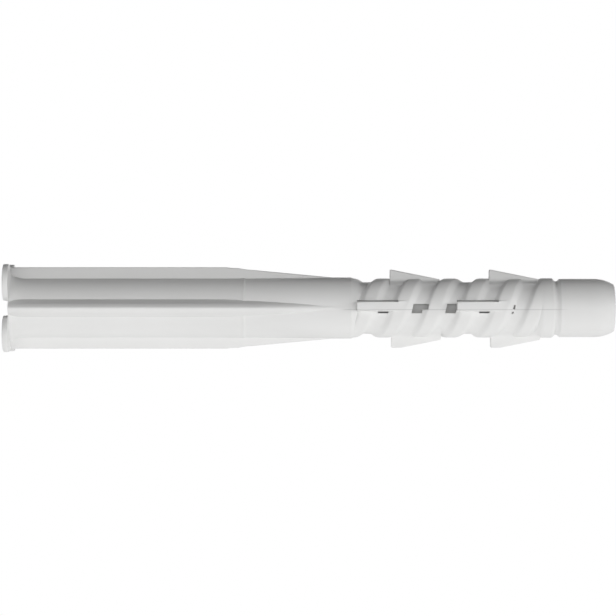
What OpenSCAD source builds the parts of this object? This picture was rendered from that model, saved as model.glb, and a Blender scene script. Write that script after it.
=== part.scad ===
// Frame plug: a one-piece nylon sleeve for an 8 mm hole. It lies along X, with the
// collar's seat on the plane X = 0 and the nose towards +X. All sizes are in millimetres.

/* [Collar] */
// Thickness of the four round lobes of the collar
collar_t = 0.58; // [0.4:0.02:1.2]
// Radius of one lobe
lobe_r = 1.83; // [1.5:0.01:2.1]
// Distance from the plug's axis to the centre of a lobe
lobe_offset = 3.56; // [3.2:0.02:4]
// Diameter of the sleeve where it flares into the collar
flare_d = 7.2; // [6.8:0.05:7.6]
// Length of the flare under the collar
flare_l = 1.4; // [0.8:0.1:2.4]

/* [Shaft] */
// Length from the collar's seat to the expansion zone
shaft_l = 34; // [24:0.5:80]
// Diameter of the shaft's core between the fins
core_d = 6.1; // [5.95:0.05:6.5]
// Diameter across the tips of opposite fins
fin_tip_d = 8.1; // [7.6:0.05:8.6]
// Rounding radius of a fin's tip
fin_round_r = 0.53; // [0.3:0.01:0.7]
// Slope of a fin's flanks, from the plane through the axis, in degrees
fin_flank = 31; // [15:1:40]
// Drop of a fin's tip where its full height ends
fin_step_h = 0.26; // [0.1:0.02:0.5]
// Length over which that drop is spread
fin_step_l = 1; // [0.5:0.1:2]
// Length over which the rest of a fin runs out into the core
fin_runout_l = 8; // [4:0.5:14]
// Plain core between the end of the fins and the expansion zone
fin_end_gap = 2.3; // [1:0.1:5]

/* [Bore] */
// Diameter of the screw bore in the shaft
bore_d = 4.6; // [4:0.05:5]
// Diameter of the countersink at the collar's face
head_d = 6.2; // [5.6:0.05:6.6]
// Depth of the countersink below the collar's seat
head_depth = 0.9; // [0.5:0.1:1.6]
// Diameter of the grip bore, from the expansion zone to the nose
grip_d = 2.8; // [2.6:0.05:3.4]
// Length of the cone between the two bores
bore_cone_l = 1.4; // [0.6:0.1:3]
// Distance from the end of that cone to the expansion zone
bore_cone_gap = 1; // [0.2:0.1:4]

/* [Expansion zone] */
// Length of the ribbed zone
zone_l = 18.6; // [12:0.2:30]
// Diameter over the ribs
zone_d = 5.88; // [5.7:0.02:6]
// Number of helical grooves
groove_count = 2; // [1:1:3]
// Distance along the axis from one rib to the next
rib_pitch = 3.33; // [2.8:0.01:4.5]
// Width of a groove at the ribs' crests
groove_w = 2; // [1.4:0.05:2.4]
// Depth of a groove
groove_depth = 0.38; // [0.2:0.01:0.45]
// Distance from the start of the zone to the first groove's middle, on top
groove_first = 1.3; // [0:0.05:3]

/* [Pockets] */
// Height of a front pocket's upper edge over the parting line
pocket_top = 0.41; // [0.2:0.01:0.6]
// Depth of its lower edge below the parting line
pocket_bottom = 0.51; // [0.3:0.01:0.6]
// Depth of the step between its halves below the parting line
pocket_step = 0.14; // [0:0.01:0.2]
// Length of its upper half along the axis
upper_pocket_l = 1.56; // [0.8:0.02:1.8]
// Distance of its upper half's middle from the groove's middle, towards the nose
upper_pocket_shift = 0.36; // [-0.4:0.02:0.4]
// Length of its lower half along the axis
lower_pocket_l = 1.04; // [0.8:0.02:1.8]
// Distance of its lower half's middle from the groove's middle, towards the collar
lower_pocket_shift = 0.12; // [-0.4:0.02:0.4]
// Wall between a pocket's floor and the grip bore
pocket_wall = 0.2; // [0.15:0.05:0.5]
// Distance from the start of the zone to the stretch that has pockets
pocket_start = 1.8; // [0:0.1:4]
// Length of that stretch
pocket_zone_l = 14.2; // [8:0.1:26]

/* [Wings] */
// Diameter across the high ends of opposite side wings, which the top wings share
wing_tip_d = 7.7; // [7:0.05:8.2]
// Radius at the high ends of the bottom wings
low_wing_tip_r = 3.97; // [3.6:0.01:4.2]
// Length of the level stretch at a bottom wing's high end
low_wing_level_l = 0.9; // [0:0.1:1.6]
// Length of a wing
wing_l = 4.95; // [3:0.05:6.5]
// Slope of a wing's back, in degrees
wing_slope = 11.3; // [6:0.1:16]
// Width of a wing's back
wing_w = 0.76; // [0.5:0.02:1.2]
// Draft of the top and bottom wings' sides, in degrees
wing_draft = 13; // [3:1:25]
// Draft of the side wings' sides, in degrees
side_wing_draft = 5; // [1:1:25]
// Number of wings in a row
wings_in_row = 2; // [1:1:2]
// Distance along the axis from one wing of a row to the next
wing_pitch = 9.87; // [7:0.01:11]
// Distance from the start of the zone to the first side wing
side_wing_start = 0.25; // [0:0.05:1]
// Distance from the first side wing to the first top wing
wing_stagger = 3.35; // [1:0.05:5]
// Distance of a side wing's middle from the parting plane
side_wing_shift = 0.26; // [0:0.02:0.6]

/* [Nose] */
// Length of the plain land between the last rib and the ring groove
land_l = 1.15; // [0.6:0.05:3]
// Diameter of that land
land_d = 5.94; // [5.9:0.02:6.1]
// Width of the ring groove
ring_w = 0.7; // [0.4:0.05:1.2]
// Depth of the ring groove
ring_depth = 0.24; // [0.1:0.02:0.4]
// Length of the nose
nose_l = 5.4; // [4:0.1:12]
// Diameter of the nose
nose_d = 5.8; // [5.6:0.02:6]
// Radius of the rounding towards the nose's end, seen from the side
nose_round_r = 3.8; // [3:0.1:6]
// Length of that rounding
nose_round_l = 1.96; // [1:0.02:2.4]

/* [Hidden] */
$fn = 96;
nylon = [0.93, 0.93, 0.92];
cut_over = 0.5;
fuse_over = 0.3;
quarter_turns = [0, 90, 180, 270];

// Radii
core_r = core_d / 2;
fin_tip_r = fin_tip_d / 2;
zone_r = zone_d / 2;
land_r = land_d / 2;
nose_r = nose_d / 2;
bore_r = bore_d / 2;
grip_r = grip_d / 2;
pocket_floor_r = grip_r + pocket_wall;
wing_tip_r = wing_tip_d / 2;

// Places along the axis
fin_end = shaft_l - fin_end_gap;
fin_step_end = fin_end - fin_runout_l;
fin_full_l = fin_step_end - fin_step_l;
bore_cone_end = shaft_l - bore_cone_gap;
bore_end = bore_cone_end - bore_cone_l;
zone_end = shaft_l + zone_l;
ring_start = zone_end + land_l;
ring_end = ring_start + ring_w;
nose_end = ring_end + nose_l;
round_start = nose_end - nose_round_l;

// Fins: the flanks leave the round tip at its tangent points
fin_tangent_w = fin_round_r * cos(fin_flank);
fin_tangent_h = fin_round_r * (1 - sin(fin_flank));
fin_foot_h = fin_tip_r - core_r + cut_over;

// Grooves: a left-hand helix with a round-bottomed section
lead = groove_count * rib_pitch;
groove_r = (pow(groove_w / 2, 2) + pow(groove_depth, 2)) / (2 * groove_depth);
groove_floor_r = zone_r - groove_depth;
groove_arc_r = groove_floor_r + groove_r;
cutter_top_r = zone_r + 0.3;
cutter_angle = acos((groove_arc_r - cutter_top_r) / groove_r);
cutter_sides = 6;
helix_step = 9;
helix_margin = rib_pitch;

// Pockets: they lean as the grooves do
pocket_lean = lead / (2 * PI * groove_floor_r);
pocket_end = pocket_start + pocket_zone_l;

// A solid of the child outline, given as (across, up), drawn out along the axis
module along_axis(length) {
    rotate([90, 0, 90])
        linear_extrude(height = length)
            children();
}

// A solid of the child outline, given as (radius, place along the axis), turned round it
module turned() {
    rotate([0, 90, 0])
        rotate_extrude()
            children();
}

// Four round lobes that stop the plug at the face of the frame
module collar() {
    translate([-collar_t, 0, 0])
        along_axis(collar_t)
            for (turn = quarter_turns)
                rotate(turn + 45)
                    translate([lobe_offset, 0])
                        circle(r = lobe_r);
}

// Core of the shaft, with the flare that carries the collar
module shaft_core() {
    turned()
        polygon([
            [0, 0],
            [flare_d / 2, 0],
            [core_r, flare_l],
            [core_r, shaft_l],
            [0, shaft_l]
        ]);
}

// Section of the top fin, from its tip at height 0 down to a foot at the given depth
module fin_section(foot_h) {
    foot_w = fin_tangent_w + (foot_h - fin_tangent_h) * tan(fin_flank);
    translate([0, -fin_round_r])
        circle(r = fin_round_r);
    polygon([
        [-foot_w, -foot_h],
        [foot_w, -foot_h],
        [fin_tangent_w, -fin_tangent_h],
        [-fin_tangent_w, -fin_tangent_h]
    ]);
}

// Long wedge of that section whose tip falls at the given angle, through one place and radius
module fin_wedge(x, tip_r, fall) {
    reach = 2 * shaft_l;
    translate([x, 0, tip_r])
        rotate([0, fall, 0])
            translate([-reach, 0, 0])
                along_axis(2 * reach)
                    fin_section(fin_foot_h + reach * tan(fall));
}

// Straight fin under two wedges: a short drop, then a long runout into the core
module fin() {
    step_r = fin_tip_r - fin_step_h;
    intersection() {
        along_axis(fin_end + cut_over)
            translate([0, fin_tip_r])
                fin_section(fin_foot_h);
        union() {
            fin_wedge(fin_full_l, fin_tip_r, atan(fin_step_h / fin_step_l));
            fin_wedge(fin_step_end, step_r, atan((step_r - core_r) / fin_runout_l));
        }
    }
}

// One point of a groove's cutter: the helix climbs along X as it turns back over the top
function cutter_point(start_x, turn, arc) =
    let (r = groove_arc_r - groove_r * cos(arc))
    [
        start_x - lead * turn / 360 + groove_r * sin(arc),
        -r * sin(turn),
        r * cos(turn)
    ];

// Solid swept by the round section of one groove, longer than the zone at both ends
module groove_cutter(start_x) {
    turn_from = (start_x - zone_end - helix_margin) * 360 / lead;
    turn_to = (start_x - shaft_l + helix_margin) * 360 / lead;
    rings = ceil((turn_to - turn_from) / helix_step);
    n = cutter_sides + 1;
    points = [
        for (i = [0:rings])
            for (j = [0:cutter_sides])
                cutter_point(
                    start_x,
                    turn_from + i * (turn_to - turn_from) / rings,
                    cutter_angle * (1 - 2 * j / cutter_sides)
                )
    ];
    sides = [
        for (i = [0:rings - 1])
            for (j = [0:cutter_sides])
                let (a = i * n + j, b = i * n + (j + 1) % n)
                each [[a, b, b + n], [a, b + n, a + n]]
    ];
    first_cap = [for (j = [cutter_sides:-1:0]) j];
    last_cap = [for (j = [0:cutter_sides]) rings * n + j];
    polyhedron(points, concat(sides, [first_cap, last_cap]));
}

// One corner of a pocket: a shift along the axis, a half length and a height
function pocket_corner(shift, half_l, height) = [shift + half_l + height * pocket_lean, height];

// Outline of a pocket: two leaning halves, stepped where the mould's halves meet
module pocket_outline() {
    upper_l = upper_pocket_l / 2;
    lower_l = lower_pocket_l / 2;
    polygon([
        pocket_corner(-lower_pocket_shift, -lower_l, -pocket_bottom),
        pocket_corner(-lower_pocket_shift, lower_l, -pocket_bottom),
        pocket_corner(-lower_pocket_shift, lower_l, -pocket_step),
        pocket_corner(upper_pocket_shift, upper_l, -pocket_step),
        pocket_corner(upper_pocket_shift, upper_l, pocket_top),
        pocket_corner(upper_pocket_shift, -upper_l, pocket_top),
        pocket_corner(upper_pocket_shift, -upper_l, -pocket_step),
        pocket_corner(-lower_pocket_shift, -lower_l, -pocket_step)
    ]);
}

// Cutters of the front pockets, which leave a wall over the bore in the grooves' floors
module pocket_cutters() {
    front_x = groove_first - lead / 4;
    first = ceil((pocket_start - front_x) / rib_pitch);
    last = floor((pocket_end - front_x) / rib_pitch);
    for (k = [first:last])
        translate([shaft_l + front_x + k * rib_pitch, -pocket_floor_r, 0])
            rotate([90, 0, 0])
                linear_extrude(height = zone_r)
                    pocket_outline();
}

// Ribbed body of the expansion zone, which reaches into the shaft and the land
module zone_body() {
    difference() {
        translate([shaft_l - fuse_over, 0, 0])
            rotate([0, 90, 0])
                cylinder(h = zone_l + 2 * fuse_over, r = zone_r);
        for (k = [0:groove_count - 1])
            groove_cutter(shaft_l + groove_first + k * rib_pitch);
        for (side = [0, 180])
            rotate([side, 0, 0])
                pocket_cutters();
    }
}

// Wing that stops the plug from turning: level at its high end, then down towards the nose
module wing(shift, tip_r, level_l, draft) {
    foot_r = grip_r - fuse_over;
    foot_w = wing_w / 2 + (tip_r - foot_r) * tan(draft);
    intersection() {
        rotate([90, 0, 0])
            linear_extrude(height = core_d, center = true)
                polygon([
                    [0, foot_r],
                    [wing_l, foot_r],
                    [wing_l, tip_r - (wing_l - level_l) * tan(wing_slope)],
                    [level_l, tip_r],
                    [0, tip_r]
                ]);
        along_axis(wing_l)
            polygon([
                [shift - foot_w, foot_r],
                [shift + foot_w, foot_r],
                [shift + wing_w / 2, tip_r],
                [shift - wing_w / 2, tip_r]
            ]);
    }
}

// Two rows of centred wings at top and bottom, and two rows beside the parting plane
module wings() {
    for (turn = quarter_turns) {
        on_side = turn == 90 || turn == 270;
        start = side_wing_start + (on_side ? 0 : wing_stagger);
        for (k = [0:wings_in_row - 1])
            translate([shaft_l + start + k * wing_pitch, 0, 0])
                rotate([turn, 0, 0])
                    if (on_side)
                        wing(side_wing_shift, wing_tip_r, 0, side_wing_draft);
                    else if (turn == 180)
                        wing(0, low_wing_tip_r, low_wing_level_l, wing_draft);
                    else
                        wing(0, wing_tip_r, 0, wing_draft);
    }
}

// Land, ring groove and rounded nose
module nose() {
    ring_floor_r = nose_r - ring_depth;
    turned() {
        polygon([
            [0, zone_end],
            [land_r, zone_end],
            [land_r, ring_start],
            [ring_floor_r, ring_start + ring_w / 3],
            [ring_floor_r, ring_end - ring_w / 3],
            [nose_r, ring_end],
            [nose_r, round_start],
            [0, round_start]
        ]);
        intersection() {
            translate([nose_r - nose_round_r, round_start])
                circle(r = nose_round_r);
            translate([0, round_start])
                square([nose_r, nose_round_l]);
        }
    }
}

// Countersink, screw bore, cone and grip bore, cut right through the plug
module bore() {
    mouth = -collar_t;
    head_slope = (head_d / 2 - bore_r) / (head_depth - mouth);
    turned()
        polygon([
            [0, mouth - cut_over],
            [head_d / 2 + cut_over * head_slope, mouth - cut_over],
            [bore_r, head_depth],
            [bore_r, bore_end],
            [grip_r, bore_cone_end],
            [grip_r, nose_end + cut_over],
            [0, nose_end + cut_over]
        ]);
}

// The whole plug, moulded in one piece
module plug_sleeve() {
    color(nylon)
        difference() {
            union() {
                collar();
                shaft_core();
                for (turn = quarter_turns)
                    rotate([turn, 0, 0])
                        fin();
                zone_body();
                wings();
                nose();
            }
            bore();
        }
}

plug_sleeve();
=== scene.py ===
"""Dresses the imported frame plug: one moulded nylon sleeve, its studio and its camera.

The sleeve is modelled in millimetres in the CAD frame, with X along the plug, the collar's
seat on the plane X = 0 and Z up as the plug lies, and is brought to metres when it is whole.
The finish, the studio and the camera have their sizes in metres.
"""
import logging
import math
from collections.abc import Callable, Sequence
from dataclasses import dataclass, field
from enum import Enum

import bmesh
import bpy
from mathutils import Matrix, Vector


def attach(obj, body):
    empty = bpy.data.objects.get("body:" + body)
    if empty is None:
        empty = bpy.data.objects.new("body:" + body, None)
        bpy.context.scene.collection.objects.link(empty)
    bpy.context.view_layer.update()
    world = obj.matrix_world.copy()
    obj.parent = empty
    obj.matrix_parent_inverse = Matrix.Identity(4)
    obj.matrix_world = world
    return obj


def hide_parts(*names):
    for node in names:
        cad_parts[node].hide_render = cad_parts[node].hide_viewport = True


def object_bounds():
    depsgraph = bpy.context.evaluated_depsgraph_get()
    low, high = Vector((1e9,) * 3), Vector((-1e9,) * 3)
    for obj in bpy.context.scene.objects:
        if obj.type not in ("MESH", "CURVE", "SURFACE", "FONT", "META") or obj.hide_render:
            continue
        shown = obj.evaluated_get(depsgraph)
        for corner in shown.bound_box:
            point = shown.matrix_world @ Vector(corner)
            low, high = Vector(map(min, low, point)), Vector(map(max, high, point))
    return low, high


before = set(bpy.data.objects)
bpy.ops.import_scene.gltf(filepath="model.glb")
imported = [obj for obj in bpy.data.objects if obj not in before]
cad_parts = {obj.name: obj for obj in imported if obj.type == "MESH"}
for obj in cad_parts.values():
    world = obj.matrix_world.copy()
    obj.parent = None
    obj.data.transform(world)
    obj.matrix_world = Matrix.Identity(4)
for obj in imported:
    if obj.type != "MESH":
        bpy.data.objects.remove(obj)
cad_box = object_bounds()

log = logging.getLogger("frame_plug")

MM = 0.001
ROUND_STEPS = 192
MERGE_MM = 0.0005
OVERLAP = 0.05
CORNER_SHARE = 0.45
BEVEL_STEPS = 3
WHITE = (1.0, 1.0, 1.0, 1.0)


class Join(Enum):
    """Ways to combine two solids."""

    FUSE = "UNION"
    CUT = "DIFFERENCE"


class Turn(Enum):
    """Quarter turns about the plug's axis, from the top towards the front."""

    TOP = 0
    FRONT = 90
    BOTTOM = 180
    BACK = 270

    @property
    def radians(self) -> float:
        """Gives the turn in radians."""
        return math.radians(self.value)


class Bench:
    """The hand tools that every piece is modelled with."""

    @staticmethod
    def pick(piece: bpy.types.Object) -> None:
        """Selects one piece alone and makes it the active one.

        Args:
            piece: The piece to work on next.
        """
        bpy.ops.object.select_all(action="DESELECT")
        piece.select_set(True)
        bpy.context.view_layer.objects.active = piece

    @staticmethod
    def select_edges(piece: bpy.types.Object, test: Callable[[Vector, Vector], bool]) -> None:
        """Selects the edges of the edited piece that pass a test.

        Args:
            piece: The piece, in edit mode.
            test: Tells from the places of an edge's two ends whether it is selected.
        """
        bpy.ops.mesh.select_all(action="DESELECT")
        bpy.ops.mesh.select_mode(type="EDGE")
        mesh = bmesh.from_edit_mesh(piece.data)
        for edge in mesh.edges:
            edge.select_set(test(edge.verts[0].co, edge.verts[1].co))
        bmesh.update_edit_mesh(piece.data)

    @staticmethod
    def draw(name: str, points: Sequence[Vector], closed: bool = False) -> bpy.types.Object:
        """Draws a line of points by extruding one vertex from place to place.

        Args:
            name: Name of the new piece.
            points: The line's points.
            closed: Whether the line is closed and filled with a face.

        Returns:
            The new piece, in edit mode, with all of it selected.
        """
        bpy.ops.object.select_all(action="DESELECT")
        bpy.ops.mesh.primitive_plane_add(size=1)
        piece = bpy.context.object
        piece.name = name
        bpy.ops.object.mode_set(mode="EDIT")
        bpy.ops.mesh.select_mode(type="VERT")
        bpy.ops.mesh.select_all(action="SELECT")
        bpy.ops.mesh.merge(type="CENTER")
        bpy.ops.transform.translate(value=points[0])
        for here, there in zip(points, points[1:]):
            bpy.ops.mesh.extrude_region_move(TRANSFORM_OT_translate={"value": there - here})
        bpy.ops.mesh.select_all(action="SELECT")
        if closed:
            bpy.ops.mesh.edge_face_add()
        return piece

    @staticmethod
    def close_up() -> None:
        """Merges the edited piece's doubles, turns its faces outwards and leaves edit mode."""
        bpy.ops.mesh.select_all(action="SELECT")
        bpy.ops.mesh.remove_doubles(threshold=MERGE_MM)
        bpy.ops.mesh.normals_make_consistent(inside=False)
        bpy.ops.object.mode_set(mode="OBJECT")

    @classmethod
    def spun(cls, name: str, profile: Sequence[tuple[float, float]]) -> bpy.types.Object:
        """Turns a solid from a profile that starts and ends on the axis.

        Args:
            name: Name of the new piece.
            profile: Points as place along the axis and radius.

        Returns:
            The closed piece.
        """
        piece = cls.draw(name, [Vector((x, 0.0, r)) for x, r in profile])
        bpy.ops.mesh.spin(steps=ROUND_STEPS, angle=math.tau, center=(0, 0, 0), axis=(1, 0, 0))
        cls.close_up()
        return piece

    @classmethod
    def turned(cls, piece: bpy.types.Object, turn: Turn) -> bpy.types.Object:
        """Turns a piece about the plug's axis and settles its mesh there.

        Args:
            piece: The piece, modelled at the top of the plug.
            turn: Where it goes.

        Returns:
            The same piece.
        """
        cls.pick(piece)
        piece.rotation_euler = (turn.radians, 0.0, 0.0)
        bpy.ops.object.transform_apply(location=True, rotation=True, scale=True)
        return piece

    @classmethod
    def copied(cls, piece: bpy.types.Object) -> bpy.types.Object:
        """Copies a piece, with a mesh of its own.

        Args:
            piece: The piece to copy.

        Returns:
            The copy.
        """
        cls.pick(piece)
        bpy.ops.object.duplicate(linked=False)
        return bpy.context.object

    @classmethod
    def combined(cls, piece: bpy.types.Object, other: bpy.types.Object, how: Join) -> None:
        """Combines another solid into a piece and clears the other away.

        Args:
            piece: The piece that stays.
            other: The solid that is used up.
            how: Whether the solids are fused or the other is cut away.
        """
        cls.pick(piece)
        bpy.ops.object.modifier_add(type="BOOLEAN")
        modifier = piece.modifiers[-1]
        modifier.operation = how.value
        modifier.solver = "MANIFOLD"
        modifier.object = other
        bpy.ops.object.modifier_apply(modifier=modifier.name)
        bpy.data.objects.remove(other, do_unlink=True)


def polar(radius: float, angle: float) -> tuple[float, float]:
    """Gives the point at a radius and at an angle in degrees from the first axis."""
    return (radius * math.cos(math.radians(angle)), radius * math.sin(math.radians(angle)))


def arc(centre: tuple[float, float], radius: float, start: float, end: float,
        steps: int) -> list[tuple[float, float]]:
    """Gives points on an arc, both ends included.

    Args:
        centre: The arc's centre.
        radius: The arc's radius.
        start: Angle of the first point in degrees, from the first axis.
        end: Angle of the last point in degrees.
        steps: Number of stretches.

    Returns:
        The points in order.
    """
    spokes = [polar(radius, start + (end - start) * k / steps) for k in range(steps + 1)]
    return [(centre[0] + x, centre[1] + y) for x, y in spokes]


def softened(points: Sequence[tuple[float, float]], reach: float,
             steps: int = 3) -> list[tuple[float, float]]:
    """Rounds every inner corner of a line with a short quadratic curve.

    Args:
        points: The line's points, with its ends left as they are.
        reach: Length of each rounding, to either side of its corner.
        steps: Number of stretches in each rounding.

    Returns:
        The softened line.
    """
    line = [points[0]]
    for before, here, after in zip(points, points[1:], points[2:]):
        corner = Vector(here)
        back, ahead = Vector(before) - corner, Vector(after) - corner
        start = corner + back.normalized() * min(reach, back.length * CORNER_SHARE)
        end = corner + ahead.normalized() * min(reach, ahead.length * CORNER_SHARE)
        for k in range(steps + 1):
            t = k / steps
            line.append(tuple(start * (1 - t) ** 2 + corner * 2 * t * (1 - t) + end * t ** 2))
    line.append(points[-1])
    return line


@dataclass
class TurnedBody:
    """The flared core of the shaft, the spine of the ribbed zone, the land and the nose."""

    flare_r: float = 3.6
    flare_l: float = 1.4
    flare_steps: int = 12
    core_r: float = 3.07
    seam_x: float = 23.12
    seam_l: float = 0.16
    seam_rise: float = 0.05
    late_core_r: float = 3.045
    shaft_l: float = 34.0
    spine_r: float = 2.4
    ramp_l: float = 1.0
    ramp_r: float = 2.9
    ramp_lip: float = 0.125
    zone_l: float = 18.6
    land_r: float = 2.965
    land_l: float = 1.15
    ring_floor_r: float = 2.66
    ring_l: float = 0.7
    nose_r: float = 2.9
    nose_l: float = 5.4
    nose_round_r: float = 3.8
    nose_round_l: float = 1.96
    nose_steps: int = 14
    corner_soft: float = 0.12

    def flare(self) -> list[tuple[float, float]]:
        """Gives the hollow curve from the collar down to the core.

        Returns:
            Its points as place along the axis and radius.
        """
        drop = self.flare_r - self.core_r
        return [(self.flare_l * (1 + x), self.flare_r + drop * y)
                for x, y in arc((0, 0), 1, 180, 270, self.flare_steps)]

    def rounding(self, start: float) -> list[tuple[float, float]]:
        """Gives the nose's rounding.

        Args:
            start: Where it starts along the axis.

        Returns:
            Its points, up to the nose's flat end.
        """
        fall = math.degrees(math.asin(self.nose_round_l / self.nose_round_r))
        centre = (start, self.nose_r - self.nose_round_r)
        return arc(centre, self.nose_round_r, 90, 90 - fall, self.nose_steps)

    def build(self) -> bpy.types.Object:
        """Spins the body in one piece.

        Returns:
            The closed body.
        """
        zone_end = self.shaft_l + self.zone_l
        ring_start = zone_end + self.land_l
        ring_end = ring_start + self.ring_l
        round_start = ring_end + self.nose_l - self.nose_round_l
        waist = softened([
            (self.flare_l, self.core_r),
            (self.seam_x - self.seam_l, self.core_r),
            (self.seam_x, self.core_r + self.seam_rise),
            (self.seam_x + self.seam_l, self.late_core_r),
            (self.shaft_l - 2 * self.ramp_lip, self.late_core_r),
            (self.shaft_l + self.ramp_lip, self.ramp_r),
            (self.shaft_l + self.ramp_l, self.spine_r),
            (zone_end - self.ramp_l, self.spine_r),
            (zone_end - self.ramp_lip, self.ramp_r),
            (zone_end + self.ramp_lip, self.land_r),
            (ring_start, self.land_r),
            (ring_start + self.ring_l / 3, self.ring_floor_r),
            (ring_end - self.ring_l / 3, self.ring_floor_r),
            (ring_end, self.nose_r),
            (round_start, self.nose_r),
        ], self.corner_soft)
        end = self.rounding(round_start)
        profile = [(-OVERLAP, 0.0), (-OVERLAP, self.flare_r)]
        profile += self.flare() + waist[1:-1] + end + [(end[-1][0], 0.0)]
        return Bench.spun("body", profile)


@dataclass
class Ribs:
    """The ribbed skin of the expansion zone, wound as a left-hand helix of two grooves."""

    zone_start: float = 34.0
    zone_l: float = 18.6
    crest_r: float = 2.94
    groove: tuple[tuple[float, float], ...] = (
        (-1.1, 0.0),
        (-0.46, 0.385),
        (0.62, 0.345),
        (1.06, 0.0),
    )
    pitch: float = 3.33
    grooves: int = 2
    first_groove: float = 1.3
    corner_soft: float = 0.18
    turn_steps: int = 96
    spare_turns: int = 2

    def section(self) -> list[tuple[float, float]]:
        """Gives one lead of the skin's section, from the middle of a rib to the same rib.

        Each groove falls gently, has a nearly level floor and ends in a steeper wall.

        Returns:
            Points as place along the axis and radius.
        """
        line = [(-self.pitch / 2, self.crest_r)]
        for k in range(self.grooves):
            line += [(k * self.pitch + along, self.crest_r - depth) for along, depth in self.groove]
        line.append(((self.grooves - 0.5) * self.pitch, self.crest_r))
        return softened(line, self.corner_soft)

    def build(self) -> bpy.types.Object:
        """Winds the section up past both ends of the zone and cuts it to length.

        Returns:
            The closed skin.
        """
        lead = self.grooves * self.pitch
        turns = math.ceil(self.zone_l / lead) + self.spare_turns
        start = self.zone_start + self.first_groove + (turns - 1) * lead
        piece = Bench.draw("ribs", [Vector((start + x, 0.0, r)) for x, r in self.section()])
        bpy.ops.object.mode_set(mode="OBJECT")
        Bench.pick(piece)
        bpy.ops.object.modifier_add(type="SCREW")
        screw = piece.modifiers[-1]
        screw.axis = "X"
        screw.angle = math.tau
        screw.screw_offset = -lead
        screw.iterations = turns
        screw.steps = screw.render_steps = self.turn_steps
        bpy.ops.object.modifier_apply(modifier=screw.name)
        bpy.ops.object.mode_set(mode="EDIT")
        bpy.ops.mesh.select_all(action="SELECT")
        bpy.ops.mesh.remove_doubles(threshold=MERGE_MM)
        zone_end = self.zone_start + self.zone_l
        for x, side in ((self.zone_start - OVERLAP, -1), (zone_end + OVERLAP, 1)):
            bpy.ops.mesh.select_all(action="SELECT")
            bpy.ops.mesh.bisect(plane_co=(x, 0, 0), plane_no=(side, 0, 0), use_fill=True,
                                clear_outer=True)
        Bench.close_up()
        return piece


@dataclass
class Fin:
    """One of the four long fins: straight, then a short drop, then a long run into the core.

    From a flank the section turns in a wide shoulder and then in a tighter rounding to its
    crown, which is flat on the top and bottom fins.
    """

    tip_r: float = 4.05
    crown_w: float = 0.42
    round_r: float = 0.14
    round_steps: int = 5
    shoulder_r: float = 0.14
    shoulder_end: float = 60.0
    shoulder_steps: int = 6
    flank: float = 20.0
    depth: float = 1.5
    drops: tuple[tuple[float, float], ...] = (
        (0.0, 0.0),
        (21.4, 0.0),
        (21.8, 0.06),
        (22.5, 0.08),
        (23.4, 0.23),
        (23.9, 0.26),
        (32.7, 1.09),
    )

    def section(self) -> list[tuple[float, float]]:
        """Gives the fin's section.

        Returns:
            Its corners as across and up.
        """
        middle = Vector((self.crown_w, self.tip_r - self.round_r))
        rounding = arc(middle, self.round_r, self.shoulder_end, 90, self.round_steps)
        inward = (Vector(rounding[0]) - middle).normalized() * (self.shoulder_r - self.round_r)
        shoulder = arc(middle - inward, self.shoulder_r, self.flank, self.shoulder_end,
                       self.shoulder_steps)
        foot_r = self.tip_r - self.depth
        foot_w = shoulder[0][0] + (shoulder[0][1] - foot_r) * math.tan(math.radians(self.flank))
        side = [(foot_w, foot_r)] + shoulder + rounding[1:]
        if not self.crown_w:
            side[-1:] = []
            return side + [(0.0, self.tip_r)] + [(-y, z) for y, z in side[::-1]]
        return side + [(-y, z) for y, z in side[::-1]]

    def build(self) -> bpy.types.Object:
        """Extrudes the section along the shaft, and lets it down from stop to stop.

        Returns:
            The closed fin, at the top of the plug.
        """
        stops = [(-OVERLAP, 0.0)] + list(self.drops)
        outline = [Vector((stops[0][0], y, z)) for y, z in self.section()]
        piece = Bench.draw("fin", outline, closed=True)
        for (x, drop), (next_x, next_drop) in zip(stops, stops[1:]):
            move = (next_x - x, 0.0, drop - next_drop)
            bpy.ops.mesh.extrude_region_move(TRANSFORM_OT_translate={"value": move})
        Bench.close_up()
        return piece


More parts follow.
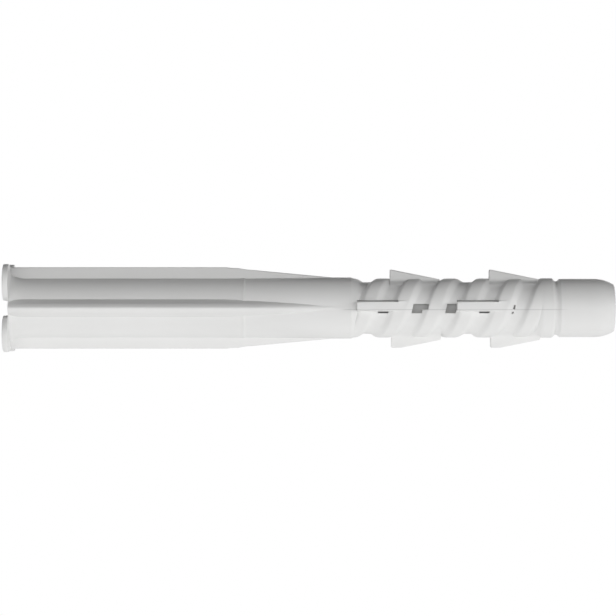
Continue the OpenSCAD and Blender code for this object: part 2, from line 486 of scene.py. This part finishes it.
@dataclass
class Wing:
    """A wing that stops the plug from turning: high at its start, falling towards the nose.

    Its flanks are drafted, and where it has a skirt they run out into the body in a hollow.
    """

    start: float
    tip_r: float = 3.85
    level_l: float = 0.0
    shift: float = 0.0
    draft: float = 13.0
    skirt_r: float = 0.0
    skirt_seat_r: float = 2.74
    skirt_steps: int = 8
    skirt_run: tuple[tuple[float, float], ...] = ((6.0, 2.71), (14.0, 2.62), (22.0, 2.5))
    length: float = 4.95
    width: float = 0.76
    foot_r: float = 1.4
    slope: float = 11.3
    edge_soft: float = 0.14
    soft_over_r: float = 3.1
    sink: float = 0.7
    relief_w: float = 0.17
    relief_soft_share: float = 1 / 6
    relief_steps: int = 2
    relief_l: float = 4.1
    relief_r: tuple[float, float] = (1.95, 3.9)

    def flank(self) -> list[tuple[float, float]]:
        """Gives one side of the section.

        Returns:
            Its corners as across and up, from the tip to the foot.
        """
        lean = math.radians(self.draft)
        tip = (self.width / 2, self.tip_r)
        if not self.skirt_r:
            return [tip, (tip[0] + (self.tip_r - self.foot_r) * math.tan(lean), self.foot_r)]
        middle = self.skirt_middle(lean)
        seat = math.degrees(math.atan2(middle[1], middle[0])) + 180
        hollow = arc(middle, self.skirt_r, 180 + self.draft, seat, self.skirt_steps)
        run = [polar(r, seat - 180 - turn) for turn, r in self.skirt_run]
        return [tip] + hollow + run + [tuple(Vector(run[-1]) * self.sink)]

    def skirt_middle(self, lean: float) -> tuple[float, float]:
        """Finds the centre of the hollow that touches both the flank and the seat's circle.

        Args:
            lean: The flank's draft in radians.

        Returns:
            The centre as across and up.
        """
        reach = self.skirt_seat_r + self.skirt_r
        offset = (self.width / 2 + self.tip_r * math.tan(lean)) * math.cos(lean) + self.skirt_r
        turn = lean + math.acos(offset / reach)
        return (reach * math.cos(turn), reach * math.sin(turn))

    def relief(self) -> bpy.types.Object:
        """Makes the cutter of the narrow slot beside the wing.

        Returns:
            The cutter, with softened edges.
        """
        bpy.ops.object.select_all(action="DESELECT")
        bpy.ops.mesh.primitive_cube_add(size=1)
        piece = bpy.context.object
        low, high = self.relief_r
        place = (self.start + self.relief_l / 2, self.shift + (self.width + self.relief_w) / 2,
                 (low + high) / 2)
        bpy.ops.transform.resize(value=(self.relief_l, self.relief_w, high - low))
        bpy.ops.transform.translate(value=place)
        bpy.ops.object.transform_apply(location=True, rotation=True, scale=True)
        bpy.ops.object.mode_set(mode="EDIT")
        bpy.ops.mesh.select_all(action="SELECT")
        bpy.ops.mesh.bevel(offset=self.relief_w * self.relief_soft_share,
                           segments=self.relief_steps, affect="EDGES")
        Bench.close_up()
        return piece

    def build(self) -> bpy.types.Object:
        """Extrudes the section, cuts its back to the slope and softens its high edges.

        Returns:
            The closed wing, at the top of the plug.
        """
        side = self.flank()
        section = side[::-1] + [(-y, z) for y, z in side]
        piece = Bench.draw("wing", [Vector((self.start, y + self.shift, z)) for y, z in section],
                           closed=True)
        bpy.ops.mesh.extrude_region_move(TRANSFORM_OT_translate={"value": (self.length, 0.0, 0.0)})
        bpy.ops.mesh.select_all(action="SELECT")
        bpy.ops.mesh.normals_make_consistent(inside=False)
        fall = math.radians(self.slope)
        bpy.ops.mesh.bisect(plane_co=(self.start + self.level_l, 0, self.tip_r),
                            plane_no=(math.sin(fall), 0, math.cos(fall)), use_fill=True,
                            clear_outer=True)
        Bench.select_edges(piece, lambda a, b: max(a.z, b.z) > self.soft_over_r)
        bpy.ops.mesh.bevel(offset=self.edge_soft, segments=BEVEL_STEPS, affect="EDGES")
        Bench.close_up()
        return piece


@dataclass
class Collar:
    """Four round lobes that stop the plug at the face of the frame."""

    thickness: float = 0.58
    lobe_r: float = 1.83
    lobe_steps: int = 96
    offset: float = 3.56
    edge_soft: float = 0.1

    def build(self) -> list[bpy.types.Object]:
        """Makes one lobe, softens its rims and copies it round the axis.

        Returns:
            The four lobes.
        """
        place = self.offset * math.sqrt(0.5)
        bpy.ops.object.select_all(action="DESELECT")
        bpy.ops.mesh.primitive_cylinder_add(
            vertices=self.lobe_steps, radius=self.lobe_r, depth=self.thickness,
            location=(-self.thickness / 2, -place, place), rotation=(0, math.pi / 2, 0))
        lobe = bpy.context.object
        bpy.ops.object.transform_apply(location=True, rotation=True, scale=True)
        bpy.ops.object.mode_set(mode="EDIT")
        Bench.select_edges(lobe, lambda a, b: abs(a.x - b.x) < MERGE_MM)
        bpy.ops.mesh.bevel(offset=self.edge_soft, segments=BEVEL_STEPS, affect="EDGES")
        Bench.close_up()
        others = [Bench.turned(Bench.copied(lobe), turn) for turn in list(Turn)[1:]]
        return [lobe] + others


@dataclass
class Pocket:
    """A blind pocket in a groove, moulded half above and half below the parting line.

    The top is counted up from the plug's axis, the bottom and the step are counted down.
    """

    x: float
    top: float = 0.41
    bottom: float = 0.51
    step: float = 0.14
    upper_l: float = 1.56
    upper_shift: float = 0.25
    lower_l: float = 1.04
    lower_shift: float = -0.02
    lean: float = 0.2
    floor_r: float = 1.6
    reach: float = 2.0

    def outline(self) -> list[tuple[float, float]]:
        """Gives the stepped outline.

        Returns:
            Its corners as place along the axis and height.
        """
        corners = [
            (self.lower_shift, -self.lower_l, -self.bottom),
            (self.lower_shift, self.lower_l, -self.bottom),
            (self.lower_shift, self.lower_l, -self.step),
            (self.upper_shift, self.upper_l, -self.step),
            (self.upper_shift, self.upper_l, self.top),
            (self.upper_shift, -self.upper_l, self.top),
            (self.upper_shift, -self.upper_l, -self.step),
            (self.lower_shift, -self.lower_l, -self.step),
        ]
        return [(self.x + shift + span / 2 + z * self.lean, z) for shift, span, z in corners]

    def build(self) -> bpy.types.Object:
        """Extrudes the outline outwards from the pocket's floor.

        Returns:
            The cutter, at the front.
        """
        piece = Bench.draw("pocket", [Vector((x, -self.floor_r, z)) for x, z in self.outline()],
                           closed=True)
        bpy.ops.mesh.extrude_region_move(TRANSFORM_OT_translate={"value": (0.0, -self.reach, 0.0)})
        Bench.close_up()
        return piece


@dataclass(frozen=True)
class Slit:
    """A short, narrow slit behind the last pocket, shallower than a pocket."""

    x: float
    top: float
    bottom: float
    step: float
    length: float = 0.2
    floor_r: float = 2.1

    def pocket(self) -> Pocket:
        """Gives the slit as a pocket whose halves are alike."""
        return Pocket(self.x, self.top, self.bottom, self.step, self.length, 0.0, self.length, 0.0,
                      floor_r=self.floor_r)


@dataclass
class Bore:
    """Countersink, screw bore, cone and grip bore."""

    head_r: float = 3.1
    head_depth: float = 0.9
    collar_t: float = 0.58
    bore_r: float = 2.3
    cone_start: float = 31.6
    cone_end: float = 33.0
    grip_r: float = 1.4
    plug_l: float = 59.85
    over: float = 0.5

    def build(self) -> bpy.types.Object:
        """Spins the cutter, which overshoots the plug at both ends.

        Returns:
            The cutter.
        """
        slope = (self.head_r - self.bore_r) / (self.head_depth + self.collar_t)
        mouth = -self.collar_t - self.over
        return Bench.spun("bore", [
            (mouth, 0.0),
            (mouth, self.head_r + self.over * slope),
            (self.head_depth, self.bore_r),
            (self.cone_start, self.bore_r),
            (self.cone_end, self.grip_r),
            (self.plug_l + self.over, self.grip_r),
            (self.plug_l + self.over, 0.0),
        ])


@dataclass(frozen=True)
class Nylon:
    """Natural white moulded nylon, satin, with a fine grain.

    Pockets, slots and bores get painted shade, darker the nearer they lie to the axis, and the
    ribbed zone shows its parting line.
    """

    name: str = "nylon_natural"
    white: tuple[float, float, float, float] = (0.82, 0.82, 0.815, 1.0)
    shade: tuple[float, float, float, float] = (0.785, 0.785, 0.775, 1.0)
    # Colour of the painted shade in the pockets, slots and bores, and of the parting line.
    dark: tuple[float, float, float, float] = (0.22, 0.22, 0.215, 1.0)
    roughness: float = 0.46
    specular: float = 0.4
    cloud_scale: float = 160.0
    cloud_detail: float = 3.0
    grain_scale: float = 5200.0
    grain_detail: float = 2.0
    grain_depth: float = 0.000004
    # Painted shade: radii, in metres, over which the darkening fades out from the axis, and its
    # strongest share.
    painted_shade_r: tuple[float, float] = (0.0017, 0.0025)
    painted_shade_share: float = 0.45
    line_z: float = 0.00014
    line_half_w: float = 0.00009
    line_from: tuple[float, float] = (0.0325, 0.0335)
    line_to: tuple[float, float] = (0.0535, 0.0555)
    line_share: float = 0.27

    @staticmethod
    def maths(tree: bpy.types.NodeTree, operation: str,
              *values: bpy.types.NodeSocket | float) -> bpy.types.NodeSocket:
        """Adds one sum to a node tree.

        Args:
            tree: The material's node tree.
            operation: Name of the sum.
            values: Its numbers, each a socket or a constant.

        Returns:
            The socket of its result.
        """
        node = tree.nodes.new("ShaderNodeMath")
        node.operation = operation
        for socket, value in zip(node.inputs, values):
            if isinstance(value, bpy.types.NodeSocket):
                tree.links.new(value, socket)
            else:
                socket.default_value = value
        return node.outputs[0]

    @staticmethod
    def ramp(tree: bpy.types.NodeTree, value: bpy.types.NodeSocket,
             span: tuple[float, float]) -> bpy.types.NodeSocket:
        """Turns a value into a smooth share from 0 to 1.

        Args:
            tree: The material's node tree.
            value: The value's socket.
            span: The values that give 0 and 1.

        Returns:
            The socket of the share.
        """
        node = tree.nodes.new("ShaderNodeMapRange")
        node.interpolation_type = "SMOOTHSTEP"
        tree.links.new(value, node.inputs["Value"])
        node.inputs["From Min"].default_value, node.inputs["From Max"].default_value = span
        return node.outputs["Result"]

    @staticmethod
    def noise(tree: bpy.types.NodeTree, place: bpy.types.NodeSocket, scale: float,
              detail: float) -> bpy.types.NodeSocket:
        """Adds a noise pattern.

        Args:
            tree: The material's node tree.
            place: The socket of the object's coordinates.
            scale: Its scale.
            detail: Its detail.

        Returns:
            The socket of its strength.
        """
        node = tree.nodes.new("ShaderNodeTexNoise")
        node.inputs["Scale"].default_value = scale
        node.inputs["Detail"].default_value = detail
        tree.links.new(place, node.inputs["Vector"])
        return node.outputs["Fac"]

    def darkness(self, tree: bpy.types.NodeTree,
                 place: bpy.types.NodeSocket) -> bpy.types.NodeSocket:
        """Paints shade into the pockets, slots and bores, darker the nearer they lie to the axis,
        and marks the parting line of the ribbed zone.

        Args:
            tree: The material's node tree.
            place: The socket of the object's coordinates.

        Returns:
            The socket of the dark share, painted shade and parting line together.
        """
        axes = tree.nodes.new("ShaderNodeSeparateXYZ")
        tree.links.new(place, axes.inputs[0])
        along, across, up = axes.outputs
        squares = [self.maths(tree, "MULTIPLY", axis, axis) for axis in (across, up)]
        radius = self.maths(tree, "SQRT", self.maths(tree, "ADD", *squares))
        # Painted shade: the nearer a surface lies to the axis, in pockets, slots and bores, the
        # darker it is painted.
        depth = self.ramp(tree, radius, self.painted_shade_r[::-1])
        painted_shade = self.maths(tree, "MULTIPLY", depth, self.painted_shade_share)
        height = self.maths(tree, "MULTIPLY", up, self.maths(tree, "SIGN", across))
        gap = self.maths(tree, "ABSOLUTE", self.maths(tree, "SUBTRACT", height, self.line_z))
        near = self.ramp(tree, gap, (self.line_half_w, 0.0))
        line = self.maths(tree, "MULTIPLY", near, self.line_share)
        for span in (self.line_from, self.line_to[::-1]):
            line = self.maths(tree, "MULTIPLY", line, self.ramp(tree, along, span))
        return self.maths(tree, "MAXIMUM", painted_shade, line)

    def material(self) -> bpy.types.Material:
        """Builds the node material, on Object coordinates.

        Returns:
            The material.
        """
        material = bpy.data.materials.new(self.name)
        material.use_nodes = True
        tree = material.node_tree
        nodes, links = tree.nodes, tree.links
        shader = nodes["Principled BSDF"]
        shader.inputs["Roughness"].default_value = self.roughness
        shader.inputs["Specular IOR Level"].default_value = self.specular
        place = nodes.new("ShaderNodeTexCoord").outputs["Object"]
        cloud = self.noise(tree, place, self.cloud_scale, self.cloud_detail)
        grain = self.noise(tree, place, self.grain_scale, self.grain_detail)
        tint = nodes.new("ShaderNodeMix")
        tint.data_type = "RGBA"
        tint.inputs["A"].default_value = self.white
        tint.inputs["B"].default_value = self.shade
        bump = nodes.new("ShaderNodeBump")
        bump.inputs["Distance"].default_value = self.grain_depth
        darken = nodes.new("ShaderNodeMix")
        darken.data_type = "RGBA"
        darken.inputs["B"].default_value = self.dark
        links.new(cloud, tint.inputs["Factor"])
        # The base colour takes the painted shade of the depths and the dark parting line.
        links.new(self.darkness(tree, place), darken.inputs["Factor"])
        links.new(tint.outputs["Result"], darken.inputs["A"])
        links.new(darken.outputs["Result"], shader.inputs["Base Color"])
        links.new(grain, bump.inputs["Height"])
        links.new(bump.outputs["Normal"], shader.inputs["Normal"])
        return material


@dataclass
class Sleeve:
    """The whole plug, moulded in one piece."""

    node: str = "plug_sleeve"
    slot: str = "nylon"
    body: TurnedBody = field(default_factory=TurnedBody)
    ribs: Ribs = field(default_factory=Ribs)
    centre_fin: Fin = field(default_factory=Fin)
    side_fin: Fin = field(default_factory=lambda: Fin(
        crown_w=0.0, round_r=0.2, shoulder_r=1.18, shoulder_end=58.0, flank=29.0))
    collar: Collar = field(default_factory=Collar)
    bore: Bore = field(default_factory=Bore)
    finish: Nylon = field(default_factory=Nylon)
    side_wing_start: float = 34.29
    centre_wing_start: float = 37.6
    wing_rows: int = 2
    wing_pitch: float = 9.87
    side_shift: float = 0.22
    low_lag: float = 0.14
    low_tip_r: float = 3.97
    low_level_l: float = 0.9
    side_draft: float = 8.0
    side_edge_soft: float = 0.06
    skirt_r: float = 0.6
    first_pocket: float = 36.995
    pockets: int = 4
    slits: tuple[Slit, ...] = (
        Slit(49.82, top=0.3, bottom=0.14, step=0.05),
        Slit(49.75, top=-0.38, bottom=0.56, step=0.47),
    )
    sharp_over: float = 32.0

    def wing_at(self, turn: Turn, row: int) -> Wing:
        """Gives the wing of one row at one side.

        Args:
            turn: The side of the plug.
            row: Number of the wing in its row, from the collar.

        Returns:
            The wing's sizes.
        """
        along = row * self.wing_pitch
        if turn in (Turn.FRONT, Turn.BACK):
            return Wing(self.side_wing_start + along, shift=self.side_shift,
                        draft=self.side_draft, edge_soft=self.side_edge_soft)
        if turn is Turn.BOTTOM:
            return Wing(self.centre_wing_start + self.low_lag + along, self.low_tip_r,
                        self.low_level_l, skirt_r=self.skirt_r)
        return Wing(self.centre_wing_start + along, skirt_r=self.skirt_r)

    def pocket_cutters(self) -> list[bpy.types.Object]:
        """Makes the cutters of the pockets and of the slits after them.

        Returns:
            The cutters, front and back by turns.
        """
        hollows = [Pocket(self.first_pocket + k * self.ribs.pitch) for k in range(self.pockets)]
        hollows += [slit.pocket() for slit in self.slits]
        cutters = []
        for hollow in hollows:
            front = hollow.build()
            cutters += [front, Bench.turned(Bench.copied(front), Turn.BOTTOM)]
        return cutters

    def build(self) -> bpy.types.Object:
        """Fuses the sleeve's forms, cuts its pockets and bore, and brings it to metres.

        Returns:
            The finished sleeve.
        """
        sleeve = self.body.build()
        Bench.combined(sleeve, self.ribs.build(), Join.FUSE)
        log.info("body and ribs: %d faces", len(sleeve.data.polygons))
        for cutter in self.pocket_cutters():
            Bench.combined(sleeve, cutter, Join.CUT)
        for turn in Turn:
            fin = self.side_fin if turn in (Turn.FRONT, Turn.BACK) else self.centre_fin
            Bench.combined(sleeve, Bench.turned(fin.build(), turn), Join.FUSE)
            for row in range(self.wing_rows):
                wing = self.wing_at(turn, row)
                Bench.combined(sleeve, Bench.turned(wing.build(), turn), Join.FUSE)
                if wing.shift:
                    Bench.combined(sleeve, Bench.turned(wing.relief(), turn), Join.CUT)
        for lobe in self.collar.build():
            Bench.combined(sleeve, lobe, Join.FUSE)
        Bench.combined(sleeve, self.bore.build(), Join.CUT)
        Bench.pick(sleeve)
        sleeve.name = "plug_sleeve_moulding"
        sleeve.scale = (MM, MM, MM)
        bpy.ops.object.transform_apply(location=True, rotation=True, scale=True)
        bpy.ops.object.shade_smooth_by_angle(angle=math.radians(self.sharp_over))
        sleeve.data.materials.clear()
        sleeve.data.materials.append(self.finish.material())
        return sleeve

    def hand_over(self, sleeve: bpy.types.Object) -> None:
        """Puts the sleeve in the CAD node's place, on the part's one body.

        Args:
            sleeve: The finished sleeve.
        """
        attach(sleeve, "root")
        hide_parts(self.node)


@dataclass(frozen=True)
class SoftLight:
    """A flat studio light aimed at the plug.

    Its azimuth is counted in degrees from the front towards the right, its elevation from
    the horizon, and its glow is its radiance, so that its size can change by itself.
    """

    name: str
    azimuth: float
    elevation: float
    width: float
    height: float
    glow: float
    distance: float = 0.8

    def build(self, aim: Vector) -> None:
        """Hangs the light and turns it to the plug.

        Args:
            aim: The point that it is turned to.
        """
        lamp = bpy.data.lights.new(self.name, "AREA")
        lamp.shape = "RECTANGLE"
        lamp.size = self.width
        lamp.size_y = self.height
        lamp.energy = self.glow * self.width * self.height * math.pi
        holder = bpy.data.objects.new(self.name, lamp)
        bpy.context.scene.collection.objects.link(holder)
        across, rise = math.radians(self.azimuth), math.radians(self.elevation)
        level = math.cos(rise)
        away = Vector((math.sin(across) * level, -math.cos(across) * level, math.sin(rise)))
        holder.location = aim + away * self.distance
        holder.rotation_euler = (-away).to_track_quat("-Z", "Y").to_euler()


@dataclass
class Studio:
    """White light tent: a glowing floor, a faint even surround and four soft panels.

    The camera sees the floor and the surround plain white.
    """

    floor_size: float = 40.0
    floor_glow: float = 0.76
    floor_white: float = 0.2
    floor_roughness: float = 0.9
    surround: float = 0.015
    lights: tuple[SoftLight, ...] = (
        SoftLight("front_strip", 0.0, 6.0, 1.0, 0.2, 3.85),
        SoftLight("right_strip", 62.0, 6.0, 0.4, 0.25, 5.6),
        SoftLight("left_panel", -55.0, 22.0, 0.6, 0.6, 0.35),
        SoftLight("back_panel", 180.0, 14.0, 1.0, 0.4, 1.8),
    )

    def surround_light(self) -> None:
        """Lights the scene evenly, and shows the camera a plain white surround."""
        world = bpy.data.worlds.new("surround")
        bpy.context.scene.world = world
        world.use_nodes = True
        nodes, links = world.node_tree.nodes, world.node_tree.links
        dim = nodes["Background"]
        dim.inputs["Color"].default_value = WHITE
        dim.inputs["Strength"].default_value = self.surround
        white = nodes.new("ShaderNodeBackground")
        white.inputs["Color"].default_value = WHITE
        rays = nodes.new("ShaderNodeLightPath")
        mix = nodes.new("ShaderNodeMixShader")
        links.new(rays.outputs["Is Camera Ray"], mix.inputs["Fac"])
        links.new(dim.outputs["Background"], mix.inputs[1])
        links.new(white.outputs["Background"], mix.inputs[2])
        links.new(mix.outputs["Shader"], nodes["World Output"].inputs["Surface"])

    def floor_material(self) -> bpy.types.Material:
        """Gives the floor's paper, lit from below as on a light table.

        Returns:
            The material.
        """
        paper = bpy.data.materials.new("floor_paper")
        paper.use_nodes = True
        nodes, links = paper.node_tree.nodes, paper.node_tree.links
        shader = nodes["Principled BSDF"]
        shader.inputs["Base Color"].default_value = (self.floor_white,) * 3 + (1.0,)
        shader.inputs["Roughness"].default_value = self.floor_roughness
        shader.inputs["Specular IOR Level"].default_value = 0.0
        shader.inputs["Emission Color"].default_value = WHITE
        shader.inputs["Emission Strength"].default_value = self.floor_glow
        white = nodes.new("ShaderNodeEmission")
        rays = nodes.new("ShaderNodeLightPath")
        mix = nodes.new("ShaderNodeMixShader")
        links.new(rays.outputs["Is Camera Ray"], mix.inputs["Fac"])
        links.new(shader.outputs["BSDF"], mix.inputs[1])
        links.new(white.outputs["Emission"], mix.inputs[2])
        links.new(mix.outputs["Shader"], nodes["Material Output"].inputs["Surface"])
        return paper

    def build(self, aim: Vector, ground: float) -> None:
        """Lays the floor and hangs the lights.

        Args:
            aim: The point that the lights are turned to.
            ground: Height of the floor.
        """
        bpy.context.scene.view_settings.view_transform = "Standard"
        self.surround_light()
        bpy.ops.object.select_all(action="DESELECT")
        bpy.ops.mesh.primitive_plane_add(size=self.floor_size, location=(aim.x, aim.y, ground))
        floor = bpy.context.object
        floor.name = "floor"
        floor.data.materials.append(self.floor_material())
        for light in self.lights:
            light.build(aim)


@dataclass(frozen=True)
class Camera:
    """The photograph's view: from the front, nearly level with the plug's axis."""

    middle: tuple[float, float, float] = (0.02947, 0.0, 0.0)
    distance: float = 0.28
    elevation: float = 0.2
    frame_width: float = 0.06134
    sensor: float = 36.0
    nearest: float = 0.01
    farthest: float = 10.0

    def build(self) -> None:
        """Sets the camera up and makes it the scene's."""
        data = bpy.data.cameras.new("camera")
        camera = bpy.data.objects.new("camera", data)
        bpy.context.scene.collection.objects.link(camera)
        rise = math.radians(self.elevation)
        back = Vector((0.0, -math.cos(rise), math.sin(rise))) * self.distance
        camera.location = Vector(self.middle) + back
        camera.rotation_euler = (math.pi / 2 - rise, 0.0, 0.0)
        data.sensor_width = self.sensor
        data.lens = self.sensor * self.distance / self.frame_width
        data.clip_start = self.nearest
        data.clip_end = self.farthest
        bpy.context.scene.camera = camera


def main() -> None:
    """Builds the plug, then its studio and camera."""
    logging.basicConfig(level=logging.INFO, format="%(name)s: %(message)s")
    bpy.ops.object.select_all(action="DESELECT")
    low, high = cad_box
    plug = Sleeve()
    sleeve = plug.build()
    plug.hand_over(sleeve)
    log.info("%s: %d faces", sleeve.name, len(sleeve.data.polygons))
    Studio().build(Vector(((low.x + high.x) / 2, 0.0, 0.0)), low.z)
    log.info("studio: floor and lights")
    Camera().build()
    log.info("camera: front view")


if __name__ == "__main__":
    main()
